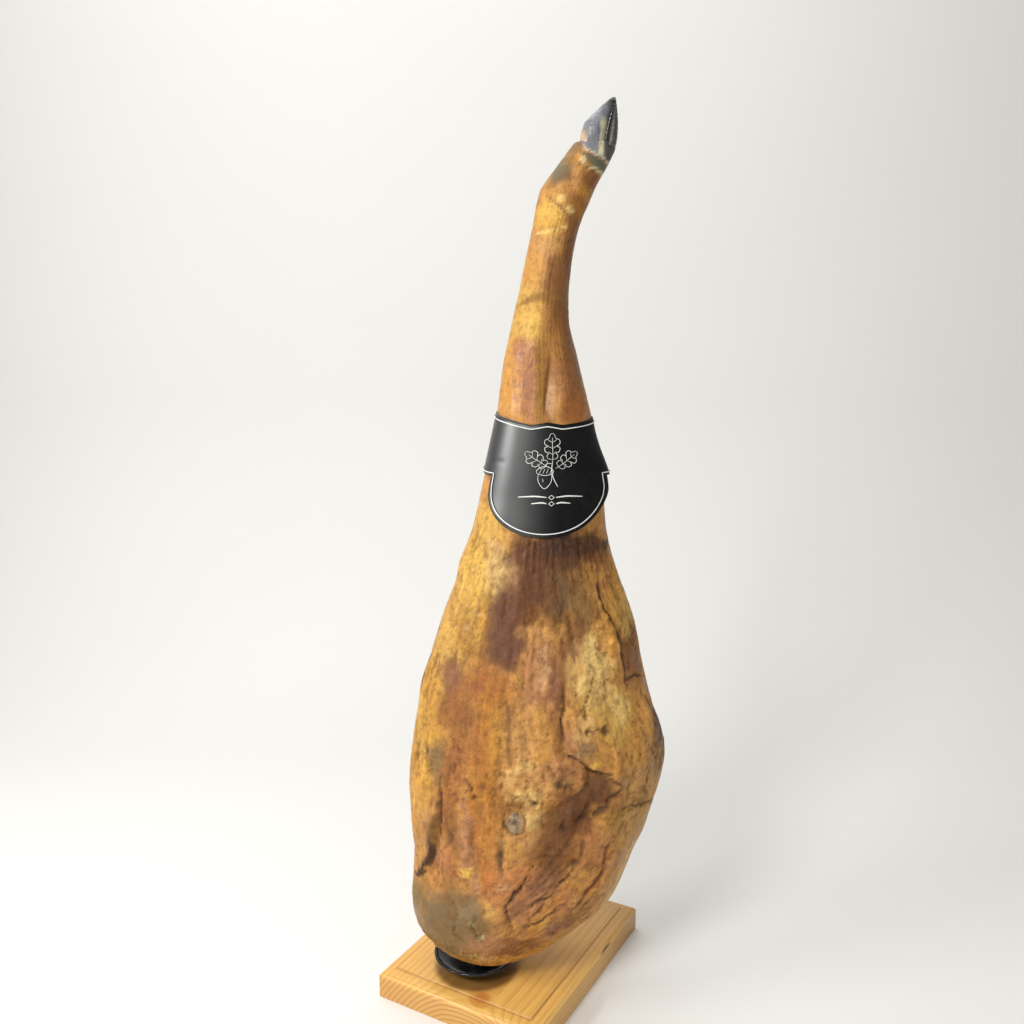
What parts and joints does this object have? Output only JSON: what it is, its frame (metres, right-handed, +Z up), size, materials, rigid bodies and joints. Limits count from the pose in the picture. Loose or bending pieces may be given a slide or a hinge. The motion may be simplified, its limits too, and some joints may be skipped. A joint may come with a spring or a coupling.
{
  "type": "ham display stand",
  "caption": "Upright display stand: moulded pine board, black drip dish and steel spike, carrying a whole cured ham with a plain black card cuff round its shank.",
  "frame": {"origin": "centre of the board's underside, where the stand rests", "axes": "+Z up, +X along the board's short side, +Y along its long side; the spike stands near the -Y end"},
  "size_m": [0.236, 0.2301, 0.839],
  "materials": {
    "pine": "satin",
    "nylon": "satin",
    "steel": "satin",
    "black_enamel": "gloss",
    "cured_ham": "satin",
    "bone": "matte",
    "horn": "satin",
    "printed_card": "satin",
    "snap_plastic": "gloss"
  },
  "bodies": {
    "stand": {"base_board": "pine", "bush_upper": "nylon", "bush_lower": "nylon"},
    "turntable": {"spike": "steel", "drip_dish": "black_enamel", "dish_washer": "steel", "jam_nut": "steel", "retaining_washer": "steel", "lock_nut": "steel"},
    "ham": {"ham_body": "cured_ham", "hip_bone": "bone", "femur": "bone", "patella": "bone", "tibia": "bone", "fibula": "bone", "calcaneus": "bone", "tarsal_bone": "bone", "metatarsal_left": "bone", "metatarsal_right": "bone", "phalanx_left": "bone", "phalanx_right": "bone", "claw_left": "horn", "claw_right": "horn", "dewclaw_left": "horn", "dewclaw_right": "horn"},
    "cuff": {"label_cuff": "printed_card", "snap_cap": "snap_plastic", "snap_socket": "snap_plastic"}
  },
  "joints": [
    {"name": "dish_swivel", "type": "hinge", "parent": "stand", "child": "turntable", "pos_m": [-0.012, -0.057, 0.03], "axis": [0, 0, 1], "continuous": true},
    {"name": "ham_lift", "type": "slide", "parent": "turntable", "child": "ham", "axis": [0, 0, 1], "range_m": [0, 0.2]},
    {"name": "cuff_slide", "type": "slide", "parent": "ham", "child": "cuff", "axis": [0, 0, 1], "range_m": [0, 0.1]}
  ]
}
